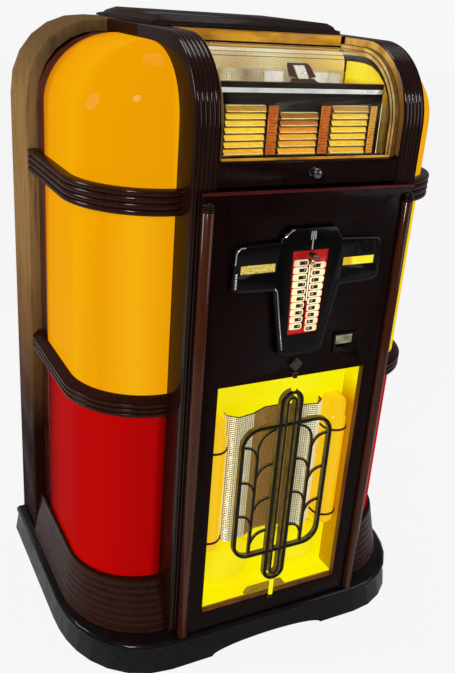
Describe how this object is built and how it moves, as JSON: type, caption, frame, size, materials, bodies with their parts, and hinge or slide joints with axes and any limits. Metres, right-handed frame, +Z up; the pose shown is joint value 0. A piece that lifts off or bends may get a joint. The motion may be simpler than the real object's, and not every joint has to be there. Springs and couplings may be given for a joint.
{
  "type": "jukebox",
  "caption": "Light-up floor jukebox: bent-ply cabinet with lit corner pilasters, a reeded fascia that sweeps into a lid window, number selector, door with cast grille, and record changer.",
  "frame": {"origin": "centre of the part's bounding box at floor level", "axes": "+X to the right seen from the front, +Y to the back, +Z up"},
  "size_m": [0.914, 0.676, 1.386],
  "materials": {
    "black_lacquer": "satin black lacquer",
    "mahogany": "dark mahogany, gloss lacquer",
    "shell_veneer": "bent walnut ply, gloss lacquer",
    "rear_board": "bare plywood",
    "frame_lacquer": "dark red lacquer, high gloss",
    "moulding_lacquer": "brown lacquer, gloss",
    "amber_plastic": "lit amber plastic, marbled",
    "red_plastic": "lit red plastic",
    "gold_reflector": "lit yellow plastic",
    "deck_paint": "brown enamel",
    "rack_paint": "dark brown enamel",
    "title_card": "lit card holders",
    "bright_chrome": "polished",
    "screen_mesh": "fine woven wire",
    "shellac_disc": "black discs",
    "machine_black": "black enamel",
    "chassis_steel": "plated steel",
    "grille_black": "black enamel on a casting",
    "scale_red": "red plastic with cream tabs",
    "light_box": "lit yellow plastic",
    "orange_plastic": "lit orange plastic",
    "speaker_cloth": "open metal cloth",
    "gold_knob": "polished",
    "knob_black": "black",
    "window_glass": "clear bent plastic",
    "platter_felt": "green felt",
    "arm_brown": "brown enamel"
  },
  "bodies": {
    "root": {"plinth": "black_lacquer", "stile_left": "mahogany", "stile_right": "mahogany", "upper_band_left": "mahogany", "upper_band_right": "mahogany", "lower_band_left": "mahogany", "lower_band_right": "mahogany", "base_corner_left": "mahogany", "base_corner_right": "mahogany", "top_board": "mahogany", "cap": "mahogany", "cabinet_shell": "shell_veneer", "back_panel": "rear_board", "speaker_baffle": "rear_board", "rear_frame_left": "frame_lacquer", "rear_frame_right": "frame_lacquer", "upper_plastic_left": "amber_plastic", "upper_plastic_right": "amber_plastic", "middle_plastic_left": "amber_plastic", "middle_plastic_right": "amber_plastic", "lower_plastic_left": "red_plastic", "lower_plastic_right": "red_plastic", "cheek_left": "gold_reflector", "cheek_right": "gold_reflector", "mechanism_deck": "deck_paint", "title_rack": "rack_paint", "indicator_lamp": "rack_paint", "title_column_left": "title_card", "title_column_centre": "title_card", "title_column_right": "title_card", "chrome_bar": "bright_chrome", "mesh_screen": "screen_mesh", "record_stack": "shellac_disc", "changer_motor": "machine_black", "speaker": "machine_black", "cash_box": "machine_black", "amplifier": "chassis_steel"},
    "front_door": {"door_panel": "mahogany", "moulding_left": "moulding_lacquer", "moulding_right": "moulding_lacquer", "grille_pillar_left": "orange_plastic", "grille_pillar_right": "orange_plastic", "grille_casting": "grille_black", "grille_light_box": "light_box", "speaker_mesh": "speaker_cloth", "escutcheon": "grille_black", "number_scale": "scale_red", "coin_mechanism": "chassis_steel", "coin_return_cup": "bright_chrome"},
    "selector_slide": {"selector_carriage": "bright_chrome"},
    "selector_knob": {"selector_knob": "gold_knob"},
    "coin_return_flap": {"coin_return_flap": "bright_chrome"},
    "door_lock": {"door_lock": "bright_chrome"},
    "lid": {"lid_frame": "mahogany", "lid_window": "window_glass"},
    "lid_knob": {"lid_knob": "knob_black"},
    "record_tray": {"record_tray": "bright_chrome"},
    "lift_column": {"lift_column": "bright_chrome"},
    "turntable": {"turntable": "platter_felt"},
    "tone_arm": {"tone_arm": "arm_brown"}
  },
  "joints": [
    {"name": "front_door_hinge", "type": "hinge", "parent": "root", "child": "front_door", "pos_m": [-0.2385, -0.292, 0.588], "axis": [0, 0, -1], "range_deg": [0, 90]},
    {"name": "lid_hinge", "type": "hinge", "parent": "root", "child": "lid", "pos_m": [0, 0.0055, 1.3645], "axis": [-1, 0, 0], "range_deg": [0, 70]},
    {"name": "lid_knob_turn", "type": "hinge", "parent": "lid", "child": "lid_knob", "pos_m": [0, -0.292, 1.13], "axis": [0, 1, 0], "range_deg": [0, 90]},
    {"name": "selector_travel", "type": "slide", "parent": "front_door", "child": "selector_slide", "axis": [0, 0, -1], "range_m": [0, 0.153]},
    {"name": "selector_push", "type": "slide", "parent": "selector_slide", "child": "selector_knob", "axis": [0, 1, 0], "range_m": [0, 0.0035], "stiffness_N_per_m": 200, "springref_m": -0.0015},
    {"name": "coin_return_flap_hinge", "type": "hinge", "parent": "front_door", "child": "coin_return_flap", "pos_m": [0.114, -0.3072, 0.7827], "axis": [1, 0, 0], "range_deg": [0, 50]},
    {"name": "door_lock_turn", "type": "hinge", "parent": "front_door", "child": "door_lock", "pos_m": [0, -0.308, 0.73], "axis": [0, 1, 0], "range_deg": [0, 90]},
    {"name": "turntable_lift", "type": "slide", "parent": "root", "child": "lift_column", "axis": [0, 0, 1], "range_m": [0, 0.065]},
    {"name": "turntable_spin", "type": "hinge", "parent": "lift_column", "child": "turntable", "pos_m": [0.04, 0.053, 1.1], "axis": [0, 0, -1], "continuous": true},
    {"name": "record_tray_swing", "type": "hinge", "parent": "root", "child": "record_tray", "pos_m": [-0.02658, 0.24632, 1.252], "axis": [0, 0, 1], "range_deg": [0, 77.01]},
    {"name": "tone_arm_swing", "type": "hinge", "parent": "root", "child": "tone_arm", "pos_m": [0.215, 0.038, 1.285], "axis": [0, 0, 1], "range_deg": [-25, 25]}
  ]
}
